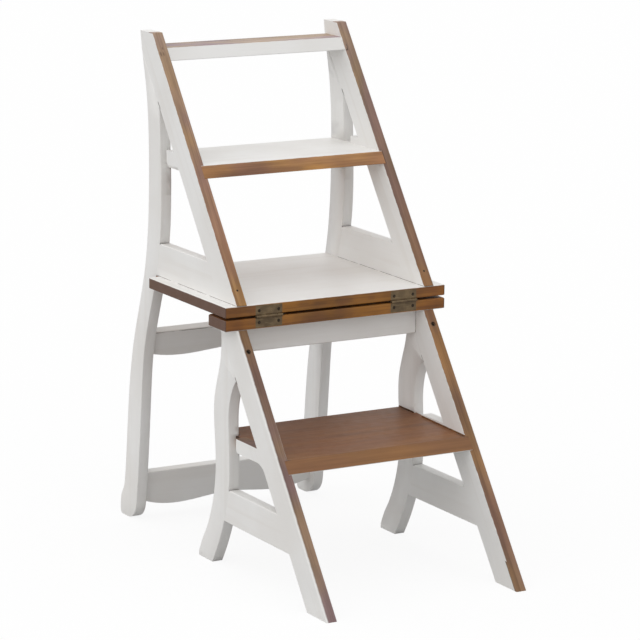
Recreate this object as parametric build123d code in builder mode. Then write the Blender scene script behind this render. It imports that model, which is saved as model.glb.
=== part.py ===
from build123d import *
import os
from math import hypot

os.makedirs("parts", exist_ok=True)

# A library chair whose rear half flips over on two hinges to become a ladder.
# It is drawn unfolded, as a ladder: +Z is up, the steps face -Y, the floor is Z = 0
# and the origin lies on the floor in the middle of the outline. Millimetres.

# Seat boards and the fold line between them
hinge_height = 450.0          # fold line above the floor; the ladder stands twice as high
hinge_offset = 1.5            # fold line in front of the boards' front edges
seat_width = 436.0
board_thickness = 19.0
board_gap = 4.5               # between the two boards while unfolded
board_overhang = 22.0         # boards past the outer faces of the side frames
board_nosing = 2.0            # front board past the stringer tops
board_corner = 9.0            # plan radius of the front board's free corners
rear_board_inset = 99.0       # rear board between the posts, in front of their scrolled ends
board_ear_inset = 157.0       # rear board's ears in front of the scrolled ends
board_ear = 4.0               # plan radius of the ears

# Side frames: slanted stringers, curved legs and posts, level rails
frame_thickness = 20.0
stringer_reach = 315.0        # run of a stringer from the board edge to its free end
stringer_width = 53.0         # square across the stringer
rail_height = 59.0
base_rail_level = 84.0        # underside of the base rails above the floor
tenon_thickness = 8.0
tenon_shoulder = 12.0         # rail edge to tenon edge
rail_tenon_depth = 20.0

# Eased edges
arris = 1.2                   # chamfer along the open straight edges of the wood

# Sabre legs under the front board. Each point of a curve is its depth in front of the straight line
# from the stringer's top to the heel, and its share of the leg's height.
leg_foot_reach = 135.0        # heel behind the board edges
leg_foot_depth = 49.0
leg_heel = 8.0                # upright part of the heel
leg_joint_drop = 14.0         # glued joint with the stringer, from the board down to the notch
leg_notch_drop = 87.0
leg_rear_curve = [(17.4, 0.875), (7.4, 0.695), (27.7, 0.466), (29.0, 0.21), (17.5, 0.126)]
leg_front_curve = [(78.4, 0.196), (84.8, 0.35), (70.9, 0.536), (61.2, 0.655), (64.3, 0.732)]

# Posts, chair leg and chair back in one. Their curves are given in the same way, from the straight
# line between the post's end at the ladder's top and its scrolled end.
post_reach = 445.0            # scrolled end, the rearmost point, behind the board edges
post_tip_level = 9.0          # corner radius under the rearmost point
post_pad_depth = 20.0         # flat of the scrolled end on the floor
rear_foot_depth = 47.0        # end of stringer and post at the ladder's top
post_joint_drop = 34.0        # glued joint with the stringer, from the top down to the notch
post_notch_drop = 124.0
post_rear_curve = [(26.9, 0.9044), (54.6, 0.7333), (54.6, 0.5233), (23.4, 0.3689),
                   (12.9, 0.1944), (12.2, 0.0944), (8.2, 0.0578)]
post_front_curve = [(61.6, 0.0344), (63.1, 0.0767), (64.4, 0.1644), (63.9, 0.2667),
                    (66.3, 0.3578), (94.5, 0.4944), (109.4, 0.6222), (101.6, 0.7333)]

# Steps and the noses of the stringers that carry them
step_thickness = 21.0
base_step_level = 233.0       # top of the base step at its front edge
base_step_rise = 6.0          # back edge of the base step above its front edge
base_step_reach = 77.0        # back edge of the base step
middle_step_reach = 329.0     # back edge of the middle step
housing_depth = 6.0           # steps let into the frames
nose_height = 25.0
base_nose_reach = 1.0         # ends of the noses, behind the board edges
upper_nose_reach = 261.0
base_nose_lift = 4.0          # noses above the undersides of their steps
upper_nose_lift = 9.0
nose_tip = 8.0                # radii of the nose: its lower tip and its root
base_nose_root = 35.0
upper_nose_root = 14.0
top_step_thickness = 22.0
top_step_drop = 24.5          # top step below the ladder's top
top_step_setback = 3.5        # top step behind the stringers' front faces
top_step_depth = 53.0         # along its top

# Apron under the front board
apron_setback = 26.0
apron_thickness = 20.0
apron_height = 45.0
apron_tenon_depth = 10.0

# Back slat and crest rail between the posts
slat_thickness = 20.0
slat_inset = 78.0             # middle of the slat's thickness in front of the scrolled ends
slat_level = 336.4            # middle of the slat's height
slat_height = 43.0
slat_lean = 16.0              # degrees from upright
slat_belly_spacing = 194.0    # between the two bellies of the scalloped edge
slat_belly_depth = 8.0        # bellies below the edge's ends
slat_saddle_depth = 1.0       # middle of the edge below its ends
crest_inset = 44.0
crest_level = 59.8
crest_height = 53.0
crest_lean = 5.5
crest_belly_spacing = 172.0
crest_belly_depth = 12.5
crest_saddle_depth = 5.0
slat_tenon_depth = 12.0

# Butt hinges let into the board edges
hinge_length = 52.0
hinge_inset = 84.0            # middle of a hinge from the end of the boards
leaf_thickness = 1.6
leaf_reach = 19.3             # outer edge of a leaf from the fold line
knuckle_radius = 2.6
knuckle_count = 5
knuckle_gap = 0.3             # end play between knuckles
knuckle_relief = 0.7          # leaf cut back round the other leaf's knuckles
pin_radius = 1.25
pin_fit = 0.06                # radial play of the moving knuckles on the pin
press_fit = 0.01              # radial play of the knuckles that hold the pin

# Fasteners
glue_line = 0.05              # play round screws and dowels in their holes
hinge_screw_spacing = 38.0
hinge_screw_rise = 10.2       # hinge screws from the fold line
hinge_screw_head = 2.9        # radii and lengths
hinge_screw_shank = 1.4
hinge_screw_length = 15.0
leg_screw_drop_left = 32.0    # leg screws below the front board
leg_screw_drop_right = 22.0
leg_screw_bore = 4.0
leg_screw_sink = 6.0
leg_screw_head = 3.7
leg_screw_head_height = 2.6
leg_screw_shank = 2.2
leg_screw_length = 68.0
nail_rise = 24.0              # nails in the upper stringers, above the rear board
nail_head = 2.0
nail_head_height = 1.2
nail_shank = 1.2
nail_length = 52.0
drive_slot = 0.8
dowel_radius = 4.0
dowel_depth = 18.0            # in the frame
dowel_board_depth = 12.0      # in the board
front_dowel_reaches = [9.0, 26.0]
rear_dowel_reaches = [125.0, 235.0]

# Worked out from the sizes above
edge_y = (stringer_reach - post_reach) / 2      # front edges of the boards
fold_y = edge_y - hinge_offset
ladder_height = 2 * hinge_height
front_board_top = hinge_height - board_gap / 2
under_board = front_board_top - board_thickness
rear_board_under = hinge_height + board_gap / 2
over_board = rear_board_under + board_thickness
slope = stringer_reach / under_board            # run of a stringer per unit of height
slant = hypot(1, slope)
stringer_run = stringer_width * slant           # level width of a stringer
front_board_depth = stringer_run + board_nosing
outer_half = seat_width / 2 - board_overhang
inner_half = outer_half - frame_thickness
middle_half = outer_half - frame_thickness / 2
base_step_under = base_step_level - step_thickness
middle_step_under = ladder_height - base_step_level
middle_step_level = middle_step_under + step_thickness
upper_nose_under = middle_step_under + upper_nose_lift
top_step_level = ladder_height - top_step_drop
top_step_under = top_step_level - top_step_thickness
rear_foot_y = edge_y + stringer_reach + rear_foot_depth
rear_board_reach = post_reach - rear_board_inset
rear_board_depth = post_reach - board_ear_inset
slat_reach = post_reach - slat_inset
crest_reach = post_reach - crest_inset
into_stringer = (0, 1 / slant, -slope / slant)  # square into a stringer's front face
sides = [("left", -1, leg_screw_drop_left), ("right", 1, leg_screw_drop_right)]


def save(builder, label):
    builder.part.label = label
    export_step(builder.part, f"parts/{label}.step")


def base_front(z):
    return edge_y + (z - under_board) * slope


def base_rear(z):
    return base_front(z) + stringer_run


def upper_front(z):
    return edge_y + (z - over_board) * slope


def upper_rear(z):
    return upper_front(z) + stringer_run


def stations(curve, top_y, foot_y, height):
    return [(foot_y + (top_y - foot_y) * share - depth, share * height) for depth, share in curve]


def side_plane(side):
    """Plane of a side frame's face with the lower X, to be extruded by frame_thickness."""
    return Plane.YZ.offset(-outer_half if side < 0 else inner_half)


def leg_screw_plane(side, drop):
    z = under_board - drop
    return Plane(origin=(side * middle_half, base_front(z), z), x_dir=(1, 0, 0), z_dir=into_stringer)


def nail_plane(side):
    z = over_board + nail_rise
    return Plane(origin=(side * middle_half, upper_front(z), z), x_dir=(1, 0, 0), z_dir=into_stringer)


def dowel_places(reaches):
    return [(side * middle_half, edge_y + reach) for side in (-1, 1) for reach in reaches]


def corner_at(sketch, y, z):
    return sketch.vertices().sort_by_distance((y, z, 0))[0]


def on_line(edge, line):
    """Whether an edge of a side frame lies along a slanted line, given as a function of the height."""
    return all(abs(edge.position_at(t).Y - line(edge.position_at(t).Z)) < 0.05 for t in (0.2, 0.8))


def rim(builder):
    """Outline edges of a side-frame piece on its two faces."""
    return builder.faces().filter_by(Axis.X).edges()


# Outlines in the plane of a side frame, with Y and Z as the sketch's own axes


def base_stringer_outline():
    nose_under = base_step_under + base_nose_lift
    nose_top = nose_under + nose_height
    nose_y = edge_y + base_nose_reach
    with BuildSketch() as outline:
        with BuildLine():
            Polyline((base_front(under_board), under_board), (base_front(0), 0), (base_rear(0), 0),
                     (base_rear(nose_under), nose_under), (nose_y, nose_under), (nose_y, nose_top),
                     (base_rear(nose_top), nose_top), (base_rear(under_board), under_board), close=True)
        make_face()
        fillet(corner_at(outline, base_rear(nose_under), nose_under), base_nose_root)
        fillet(corner_at(outline, nose_y, nose_under), nose_tip)
    return outline.sketch


def upper_stringer_outline():
    nose_top = upper_nose_under + nose_height
    nose_y = edge_y + upper_nose_reach
    joint_z = ladder_height - post_joint_drop
    with BuildSketch() as outline:
        with BuildLine():
            Polyline((upper_front(over_board), over_board), (upper_front(ladder_height), ladder_height),
                     (rear_foot_y, ladder_height), (upper_rear(joint_z), joint_z),
                     (upper_rear(nose_top), nose_top), (nose_y, nose_top), (nose_y, upper_nose_under),
                     (upper_rear(upper_nose_under), upper_nose_under),
                     (upper_rear(over_board), over_board), close=True)
        make_face()
        fillet(corner_at(outline, upper_rear(upper_nose_under), upper_nose_under), upper_nose_root)
        fillet(corner_at(outline, nose_y, upper_nose_under), nose_tip)
    return outline.sketch


def leg_outline():
    joint_z = under_board - leg_joint_drop
    notch_z = under_board - leg_notch_drop
    joint = (base_rear(joint_z), joint_z)
    notch = (base_rear(notch_z), notch_z)
    heel_y = edge_y + leg_foot_reach
    toe = (heel_y - leg_foot_depth, 0)
    rear = stations(leg_rear_curve, edge_y + stringer_run, heel_y, under_board)
    front = stations(leg_front_curve, edge_y + stringer_run, heel_y, under_board)
    with BuildSketch() as outline:
        with BuildLine():
            Line(notch, joint)
            Spline(joint, *rear, (heel_y, leg_heel), tangents=[(0, -1), (0.45, -1)])
            Polyline((heel_y, leg_heel), (heel_y, 0), toe)
            Spline(toe, *front, notch)
        make_face()
    return outline.sketch


def post_outline():
    joint_z = ladder_height - post_joint_drop
    notch_z = ladder_height - post_notch_drop
    joint = (upper_rear(joint_z), joint_z)
    notch = (upper_rear(notch_z), notch_z)
    tip = (edge_y + post_reach, post_tip_level)
    heel = (edge_y + post_reach - post_tip_level, 0)
    toe = (heel[0] - post_pad_depth, 0)
    rear = stations(post_rear_curve, rear_foot_y, tip[0], ladder_height)
    front = stations(post_front_curve, rear_foot_y, tip[0], ladder_height)
    with BuildSketch() as outline:
        with BuildLine():
            Line(notch, joint)
            Spline(joint, *rear, tip, tangents=[(-0.2, -1), (0, -1)])
            RadiusArc(tip, heel, post_tip_level)
            Line(heel, toe)
            scroll = TangentArc(toe, front[0], tangent=(-1, 0))
            Spline(*front, notch, tangents=[scroll % 1, (0.07, 1)])
        make_face()
    return outline.sketch


def base_rail_outline():
    top = base_rail_level + rail_height
    leg_y = edge_y + leg_foot_reach - leg_foot_depth
    with BuildSketch() as outline:
        with BuildLine():
            Polyline((base_rear(base_rail_level), base_rail_level), (leg_y, base_rail_level),
                     (leg_y, top), (base_rear(top), top), close=True)
        make_face()
        add(leg_outline(), mode=Mode.SUBTRACT)
        add(outline.faces().sort_by(Axis.X)[:1], mode=Mode.REPLACE)
    return outline.sketch


def upper_rail_outline():
    top = over_board + rail_height
    post_y = edge_y + rear_board_reach
    with BuildSketch() as outline:
        with BuildLine():
            Polyline((upper_rear(over_board), over_board), (post_y, over_board), (post_y, top),
                     (upper_rear(top), top), close=True)
        make_face()
        add(post_outline(), mode=Mode.SUBTRACT)
        add(outline.faces().sort_by(Axis.X)[:1], mode=Mode.REPLACE)
    return outline.sketch


def tenon_outline(rail):
    """One long rectangle that makes the tenons at both ends of a rail and their mortises."""
    box = rail.bounding_box()
    with BuildSketch() as outline:
        with Locations(box.center()):
            Rectangle(box.size.X + 2 * rail_tenon_depth - rail_height * slope,
                      box.size.Y - 2 * tenon_shoulder)
    return outline.sketch


def base_step_outline():
    with BuildSketch() as outline:
        with BuildLine():
            Polyline((base_front(base_step_under), base_step_under),
                     (edge_y + base_step_reach, base_step_under + base_step_rise),
                     (edge_y + base_step_reach, base_step_level + base_step_rise),
                     (base_front(base_step_level), base_step_level), close=True)
        make_face()
    return outline.sketch


def middle_step_outline():
    with BuildSketch() as outline:
        with BuildLine():
            Polyline((upper_front(middle_step_under), middle_step_under),
                     (edge_y + middle_step_reach, middle_step_under),
                     (edge_y + middle_step_reach, middle_step_level),
                     (upper_front(middle_step_level), middle_step_level), close=True)
        make_face()
    return outline.sketch


def top_step_outline():
    front = upper_front(top_step_level) + top_step_setback
    with BuildSketch() as outline:
        with BuildLine():
            Polyline((upper_front(top_step_under) + top_step_setback, top_step_under),
                     (front + top_step_depth, top_step_under), (front + top_step_depth, top_step_level),
                     (front, top_step_level), close=True)
        make_face()
    return outline.sketch


# Planes that lie in the leaning back slat and crest rail, with the sketch's Y up the slope


def back_plane(reach, level, lean):
    upright = Plane(origin=(0, edge_y + reach, level), x_dir=(1, 0, 0), z_dir=(0, -1, 0))
    return upright.rotated((lean, 0, 0))


slat_plane = back_plane(slat_reach, slat_level, slat_lean)
crest_plane = back_plane(crest_reach, crest_level, crest_lean)


def scalloped_outline(height, belly_spacing, belly_depth, saddle_depth):
    """A rail with a straight upper edge and two bellies below."""
    end = inner_half
    low = -height / 2
    with BuildSketch() as outline:
        with BuildLine():
            Polyline((-end, low), (-end, -low), (end, -low), (end, low))
            Spline((end, low), (belly_spacing / 2, low - belly_depth), (0, low - saddle_depth),
                   (-belly_spacing / 2, low - belly_depth), (-end, low))
        make_face()
    return outline.sketch


def long_edges(builder):
    """Edges of a cross rail that run from end to end."""
    return builder.edges().filter_by(lambda e: e.length > inner_half)


def back_tenon_outline(height):
    with BuildSketch() as outline:
        Rectangle(2 * (inner_half + slat_tenon_depth), height - 2 * tenon_shoulder)
    return outline.sketch


# Side frames

for name, side, screw_drop in sides:
    inner_face = Plane.YZ.offset(side * inner_half)
    middle_plane = Plane.YZ.offset(side * middle_half)
    screw_plane = leg_screw_plane(side, screw_drop)
    base_tenon = tenon_outline(base_rail_outline())
    upper_tenon = tenon_outline(upper_rail_outline())

    with BuildPart() as base_stringer:
        with BuildSketch(side_plane(side)):
            add(base_stringer_outline())
        extrude(amount=frame_thickness)
        chamfer(rim(base_stringer).filter_by(lambda e: on_line(e, base_front)), arris)
        with BuildSketch(inner_face):
            add(base_step_outline())
        extrude(amount=side * housing_depth, mode=Mode.SUBTRACT)
        with BuildSketch(middle_plane):
            add(base_tenon)
        extrude(amount=tenon_thickness / 2, both=True, mode=Mode.SUBTRACT)
        with BuildSketch(inner_face):
            with Locations((edge_y + apron_setback + apron_thickness / 2, under_board - apron_height / 2)):
                Rectangle(tenon_thickness, apron_height - 2 * tenon_shoulder)
        extrude(amount=side * apron_tenon_depth, mode=Mode.SUBTRACT)
        with BuildSketch(Plane.XY.offset(under_board)):
            with Locations([(side * middle_half, edge_y + reach) for reach in front_dowel_reaches]):
                Circle(dowel_radius + glue_line)
        extrude(amount=-dowel_depth, mode=Mode.SUBTRACT)
        with BuildSketch(screw_plane):
            Circle(leg_screw_bore)
        extrude(amount=leg_screw_sink, mode=Mode.SUBTRACT)
        with BuildSketch(screw_plane):
            Circle(leg_screw_shank + glue_line)
        extrude(amount=leg_screw_length, mode=Mode.SUBTRACT)
    save(base_stringer, f"base_stringer_{name}")

    with BuildPart() as leg:
        with BuildSketch(side_plane(side)):
            add(leg_outline())
        extrude(amount=frame_thickness)
        with BuildSketch(inner_face):
            add(base_step_outline())
        extrude(amount=side * housing_depth, mode=Mode.SUBTRACT)
        with BuildSketch(middle_plane):
            add(base_tenon)
        extrude(amount=tenon_thickness / 2, both=True, mode=Mode.SUBTRACT)
        with BuildSketch(screw_plane):
            Circle(leg_screw_shank + glue_line)
        extrude(amount=leg_screw_sink + leg_screw_length, mode=Mode.SUBTRACT)
    save(leg, f"front_leg_{name}")

    with BuildPart() as base_rail:
        with BuildSketch(side_plane(side)):
            add(base_rail_outline())
        extrude(amount=frame_thickness)
        chamfer(rim(base_rail).filter_by(Axis.Y), arris)
        with BuildSketch(middle_plane):
            add(base_tenon)
        extrude(amount=tenon_thickness / 2, both=True)
    save(base_rail, f"base_rail_{name}")

    with BuildPart() as upper_stringer:
        with BuildSketch(side_plane(side)):
            add(upper_stringer_outline())
        extrude(amount=frame_thickness)
        chamfer(rim(upper_stringer).filter_by(lambda e: on_line(e, upper_front)), arris)
        with BuildSketch(inner_face):
            add(middle_step_outline())
            add(top_step_outline())
        extrude(amount=side * housing_depth, mode=Mode.SUBTRACT)
        with BuildSketch(middle_plane):
            add(upper_tenon)
        extrude(amount=tenon_thickness / 2, both=True, mode=Mode.SUBTRACT)
        with BuildSketch(nail_plane(side)):
            Circle(nail_head + glue_line)
        extrude(amount=nail_head_height, mode=Mode.SUBTRACT)
        with BuildSketch(nail_plane(side)):
            Circle(nail_shank + glue_line)
        extrude(amount=nail_length, mode=Mode.SUBTRACT)
    save(upper_stringer, f"upper_stringer_{name}")

    with BuildPart() as post:
        with BuildSketch(side_plane(side)):
            add(post_outline())
        extrude(amount=frame_thickness)
        with BuildSketch(inner_face):
            add(middle_step_outline())
            add(top_step_outline())
        extrude(amount=side * housing_depth, mode=Mode.SUBTRACT)
        with BuildSketch(middle_plane):
            add(upper_tenon)
        extrude(amount=tenon_thickness / 2, both=True, mode=Mode.SUBTRACT)
        with BuildSketch(slat_plane):
            add(back_tenon_outline(slat_height))
        extrude(amount=tenon_thickness / 2, both=True, mode=Mode.SUBTRACT)
        with BuildSketch(crest_plane):
            add(back_tenon_outline(crest_height))
        extrude(amount=tenon_thickness / 2, both=True, mode=Mode.SUBTRACT)
    save(post, f"post_{name}")

    with BuildPart() as upper_rail:
        with BuildSketch(side_plane(side)):
            add(upper_rail_outline())
        extrude(amount=frame_thickness)
        chamfer(rim(upper_rail).filter_by(Axis.Y).group_by(Axis.Z)[-1], arris)
        with BuildSketch(middle_plane):
            add(upper_tenon)
        extrude(amount=tenon_thickness / 2, both=True)
        with BuildSketch(Plane.XY.offset(over_board)):
            with Locations([(side * middle_half, edge_y + reach) for reach in rear_dowel_reaches]):
                Circle(dowel_radius + glue_line)
        extrude(amount=dowel_depth, mode=Mode.SUBTRACT)
    save(upper_rail, f"upper_rail_{name}")

# Steps and cross rails

with BuildPart() as base_step:
    with BuildSketch(Plane.YZ):
        add(base_step_outline())
    extrude(amount=inner_half + housing_depth, both=True)
    chamfer(base_step.edges().filter_by(Axis.X), arris)
save(base_step, "base_step")

with BuildPart() as middle_step:
    with BuildSketch(Plane.YZ):
        add(middle_step_outline())
    extrude(amount=inner_half + housing_depth, both=True)
    chamfer(middle_step.edges().filter_by(Axis.X), arris)
save(middle_step, "middle_step")

with BuildPart() as top_step:
    with BuildSketch(Plane.YZ):
        add(top_step_outline())
    extrude(amount=inner_half + housing_depth, both=True)
    chamfer(top_step.edges().filter_by(Axis.X), arris)
save(top_step, "top_step")

with BuildPart() as apron:
    with BuildSketch(Plane.XZ.offset(-(edge_y + apron_setback + apron_thickness / 2))):
        with Locations((0, under_board - apron_height / 2)):
            Rectangle(2 * inner_half, apron_height)
    extrude(amount=apron_thickness / 2, both=True)
    chamfer(apron.edges().filter_by(Axis.X).group_by(Axis.Z)[0], arris)
    with BuildSketch(Plane.XZ.offset(-(edge_y + apron_setback + apron_thickness / 2))):
        with Locations((0, under_board - apron_height / 2)):
            Rectangle(2 * (inner_half + apron_tenon_depth), apron_height - 2 * tenon_shoulder)
    extrude(amount=tenon_thickness / 2, both=True)
save(apron, "seat_apron")

with BuildPart() as back_slat:
    with BuildSketch(slat_plane):
        add(scalloped_outline(slat_height, slat_belly_spacing, slat_belly_depth, slat_saddle_depth))
    extrude(amount=slat_thickness / 2, both=True)
    chamfer(long_edges(back_slat), arris)
    with BuildSketch(slat_plane):
        add(back_tenon_outline(slat_height))
    extrude(amount=tenon_thickness / 2, both=True)
save(back_slat, "back_slat")

with BuildPart() as crest_rail:
    with BuildSketch(crest_plane):
        add(scalloped_outline(crest_height, crest_belly_spacing, crest_belly_depth, crest_saddle_depth))
    extrude(amount=slat_thickness / 2, both=True)
    chamfer(long_edges(crest_rail), arris)
    with BuildSketch(crest_plane):
        add(back_tenon_outline(crest_height))
    extrude(amount=tenon_thickness / 2, both=True)
save(crest_rail, "crest_rail")

# Seat boards, with shallow seats for the hinge leaves in their front edges

hinge_half = seat_width / 2 - hinge_inset
hinge_places = [-hinge_half, hinge_half]
leaf_top = hinge_height + leaf_reach
leaf_bottom = hinge_height - leaf_reach
screw_steps = [-hinge_screw_spacing / 2, hinge_screw_spacing / 2]
screw_places = [x + step for x in hinge_places for step in screw_steps]
board_edge = Plane.XZ.offset(-edge_y)

with BuildPart() as front_board:
    with BuildSketch(Plane.XY.offset(under_board)) as front_plan:
        with Locations((0, edge_y + front_board_depth / 2)):
            Rectangle(seat_width, front_board_depth)
        fillet(front_plan.vertices().group_by(Axis.Y)[-1], board_corner)
    extrude(amount=board_thickness)
    chamfer(front_board.faces().filter_by(Axis.Z).edges(), arris)
    with BuildSketch(board_edge):
        with Locations([(x, (front_board_top + leaf_bottom) / 2) for x in hinge_places]):
            Rectangle(hinge_length, front_board_top - leaf_bottom)
    extrude(amount=-leaf_thickness, mode=Mode.SUBTRACT)
    with BuildSketch(board_edge):
        with Locations([(x, hinge_height - hinge_screw_rise) for x in screw_places]):
            Circle(hinge_screw_shank + glue_line)
    extrude(amount=-hinge_screw_length, mode=Mode.SUBTRACT)
    with BuildSketch(Plane.XY.offset(under_board)):
        with Locations(dowel_places(front_dowel_reaches)):
            Circle(dowel_radius + glue_line)
    extrude(amount=dowel_board_depth, mode=Mode.SUBTRACT)
save(front_board, "front_seat_board")

with BuildPart() as rear_board:
    with BuildSketch(Plane.XY.offset(rear_board_under)) as rear_plan:
        with Locations((0, edge_y + rear_board_depth / 2)):
            Rectangle(seat_width, rear_board_depth)
        fillet(rear_plan.vertices().group_by(Axis.Y)[-1], board_ear)
        with Locations((0, edge_y + rear_board_reach / 2)):
            Rectangle(2 * inner_half, rear_board_reach)
        with Locations((0, edge_y + (rear_board_depth + frame_thickness) / 2)):
            Rectangle(2 * outer_half, rear_board_depth + frame_thickness)
    extrude(amount=board_thickness)
    chamfer(rear_board.faces().filter_by(Axis.Z).edges(), arris)
    for name, side, screw_drop in sides:
        with BuildSketch(side_plane(side)):
            add(post_outline())
        extrude(amount=frame_thickness, mode=Mode.SUBTRACT)
    with BuildSketch(board_edge):
        with Locations([(x, (rear_board_under + leaf_top) / 2) for x in hinge_places]):
            Rectangle(hinge_length, leaf_top - rear_board_under)
    extrude(amount=-leaf_thickness, mode=Mode.SUBTRACT)
    with BuildSketch(board_edge):
        with Locations([(x, hinge_height + hinge_screw_rise) for x in screw_places]):
            Circle(hinge_screw_shank + glue_line)
    extrude(amount=-hinge_screw_length, mode=Mode.SUBTRACT)
    with BuildSketch(Plane.XY.offset(over_board)):
        with Locations(dowel_places(rear_dowel_reaches)):
            Circle(dowel_radius + glue_line)
    extrude(amount=-dowel_board_depth, mode=Mode.SUBTRACT)
    for name, side, screw_drop in sides:
        with BuildSketch(nail_plane(side)):
            Circle(nail_shank + glue_line)
        extrude(amount=nail_length, mode=Mode.SUBTRACT)
save(rear_board, "rear_seat_board")

# Hinges: two leaves with interleaved knuckles, and a pin held by the base leaf

knuckle_pitch = hinge_length / knuckle_count
knuckle_length = knuckle_pitch - knuckle_gap
relief = knuckle_radius + knuckle_relief


def knuckle_places(first):
    return [-hinge_length / 2 + (i + 0.5) * knuckle_pitch for i in range(first, knuckle_count, 2)]


def leaf(middle_x, up, first, bore):
    """A hinge leaf; up is 1 for the rear board's leaf, -1 for the front board's."""
    axis_plane = Plane.YZ.offset(middle_x)
    with BuildPart() as plate:
        with BuildSketch(board_edge):
            with Locations((middle_x, hinge_height + up * (relief + leaf_reach) / 2)):
                Rectangle(hinge_length, leaf_reach - relief)
            with Locations([(middle_x + x, hinge_height + up * relief / 2) for x in knuckle_places(first)]):
                Rectangle(knuckle_length, relief)
        extrude(amount=-leaf_thickness)
        for x in knuckle_places(first):
            with BuildSketch(axis_plane.offset(x)):
                with Locations((fold_y, hinge_height)):
                    Circle(knuckle_radius)
            extrude(amount=knuckle_length / 2, both=True)
        with BuildSketch(axis_plane):
            with Locations((fold_y, hinge_height)):
                Circle(bore)
        extrude(amount=hinge_length / 2, both=True, mode=Mode.SUBTRACT)
        for step in screw_steps:
            seat = Plane(origin=(middle_x + step, edge_y, hinge_height + up * hinge_screw_rise),
                         x_dir=(1, 0, 0), z_dir=(0, 1, 0))
            with BuildSketch(seat):
                Circle(hinge_screw_head + glue_line)
            with BuildSketch(seat.offset(leaf_thickness)):
                Circle(hinge_screw_shank + glue_line)
            loft(mode=Mode.SUBTRACT)
    return plate


for name, side, screw_drop in sides:
    middle_x = side * hinge_half
    save(leaf(middle_x, -1, 0, pin_radius + press_fit), f"hinge_base_leaf_{name}")
    save(leaf(middle_x, 1, 1, pin_radius + pin_fit), f"hinge_flip_leaf_{name}")
    with BuildPart() as pin:
        with BuildSketch(Plane.YZ.offset(middle_x)):
            with Locations((fold_y, hinge_height)):
                Circle(pin_radius)
        extrude(amount=hinge_length / 2, both=True)
    save(pin, f"hinge_pin_{name}")

# Fasteners, one node for each kind and body


def hinge_screws(level):
    planes = [Plane(origin=(x, edge_y, level), x_dir=(1, 0, 0), z_dir=(0, 1, 0)) for x in screw_places]
    with BuildPart() as screws:
        for plane in planes:
            with BuildSketch(plane):
                Circle(hinge_screw_head)
            with BuildSketch(plane.offset(leaf_thickness)):
                Circle(hinge_screw_shank)
            loft()
            with BuildSketch(plane.offset(leaf_thickness)):
                Circle(hinge_screw_shank)
            extrude(amount=hinge_screw_length - leaf_thickness)
            with BuildSketch(plane):
                Rectangle(2 * hinge_screw_head, drive_slot)
            extrude(amount=drive_slot, mode=Mode.SUBTRACT)
    return screws


save(hinge_screws(hinge_height - hinge_screw_rise), "hinge_screws_base")
save(hinge_screws(hinge_height + hinge_screw_rise), "hinge_screws_flip")

with BuildPart() as leg_screws:
    for name, side, screw_drop in sides:
        screw_plane = leg_screw_plane(side, screw_drop)
        with BuildSketch(screw_plane.offset(leg_screw_sink - leg_screw_head_height)):
            Circle(leg_screw_head)
        extrude(amount=leg_screw_head_height)
        with BuildSketch(screw_plane.offset(leg_screw_sink - leg_screw_head_height)):
            Rectangle(2 * leg_screw_head, drive_slot)
        extrude(amount=drive_slot, mode=Mode.SUBTRACT)
        with BuildSketch(screw_plane.offset(leg_screw_sink)):
            Circle(leg_screw_shank)
        extrude(amount=leg_screw_length - leg_screw_sink)
save(leg_screws, "leg_screws")

with BuildPart() as nails:
    for name, side, screw_drop in sides:
        with BuildSketch(nail_plane(side)):
            Circle(nail_head)
        extrude(amount=nail_head_height)
        with BuildSketch(nail_plane(side)):
            Circle(nail_shank)
        extrude(amount=nail_length)
save(nails, "stringer_nails")

with BuildPart() as front_dowels:
    with BuildSketch(Plane.XY.offset(under_board - dowel_depth)):
        with Locations(dowel_places(front_dowel_reaches)):
            Circle(dowel_radius)
    extrude(amount=dowel_depth + dowel_board_depth)
save(front_dowels, "front_board_dowels")

with BuildPart() as rear_dowels:
    with BuildSketch(Plane.XY.offset(over_board - dowel_board_depth)):
        with Locations(dowel_places(rear_dowel_reaches)):
            Circle(dowel_radius)
    extrude(amount=dowel_depth + dowel_board_depth)
save(rear_dowels, "rear_board_dowels")
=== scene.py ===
"""Finishes for a folding step ladder chair: white paint, brown stain, aged hinges, screws and nails."""
import math

import bmesh
import bpy
from bpy.props import FloatProperty, FloatVectorProperty, IntProperty, PointerProperty
from mathutils import Matrix, Vector
from mathutils.bvhtree import BVHTree


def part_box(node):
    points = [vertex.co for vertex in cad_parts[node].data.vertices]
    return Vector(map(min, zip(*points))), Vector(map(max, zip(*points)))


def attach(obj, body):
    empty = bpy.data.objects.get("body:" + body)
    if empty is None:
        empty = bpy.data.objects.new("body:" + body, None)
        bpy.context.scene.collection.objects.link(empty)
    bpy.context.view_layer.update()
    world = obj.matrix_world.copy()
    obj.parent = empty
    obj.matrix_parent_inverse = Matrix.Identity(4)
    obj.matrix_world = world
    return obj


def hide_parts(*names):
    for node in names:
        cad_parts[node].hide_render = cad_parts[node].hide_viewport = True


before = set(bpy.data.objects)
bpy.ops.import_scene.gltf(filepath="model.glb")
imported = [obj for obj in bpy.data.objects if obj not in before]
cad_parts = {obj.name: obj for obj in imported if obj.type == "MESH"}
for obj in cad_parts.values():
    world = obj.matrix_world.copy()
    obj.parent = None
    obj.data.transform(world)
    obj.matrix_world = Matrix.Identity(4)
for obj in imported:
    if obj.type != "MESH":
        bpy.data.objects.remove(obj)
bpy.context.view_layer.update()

bl_info = {
    "name": "Step ladder chair finishes",
    "version": (1, 0, 0),
    "blender": (4, 5, 0),
    "location": "3D View > Sidebar > Ladder Chair",
    "description": "Paints and stains the wood, ages the hinges, drives the screws and sets the studio",
    "category": "Object",
}

SIDES = ("left", "right")
FRONT_HALF = "front_half"
REAR_HALF = "rear_half"


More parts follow.
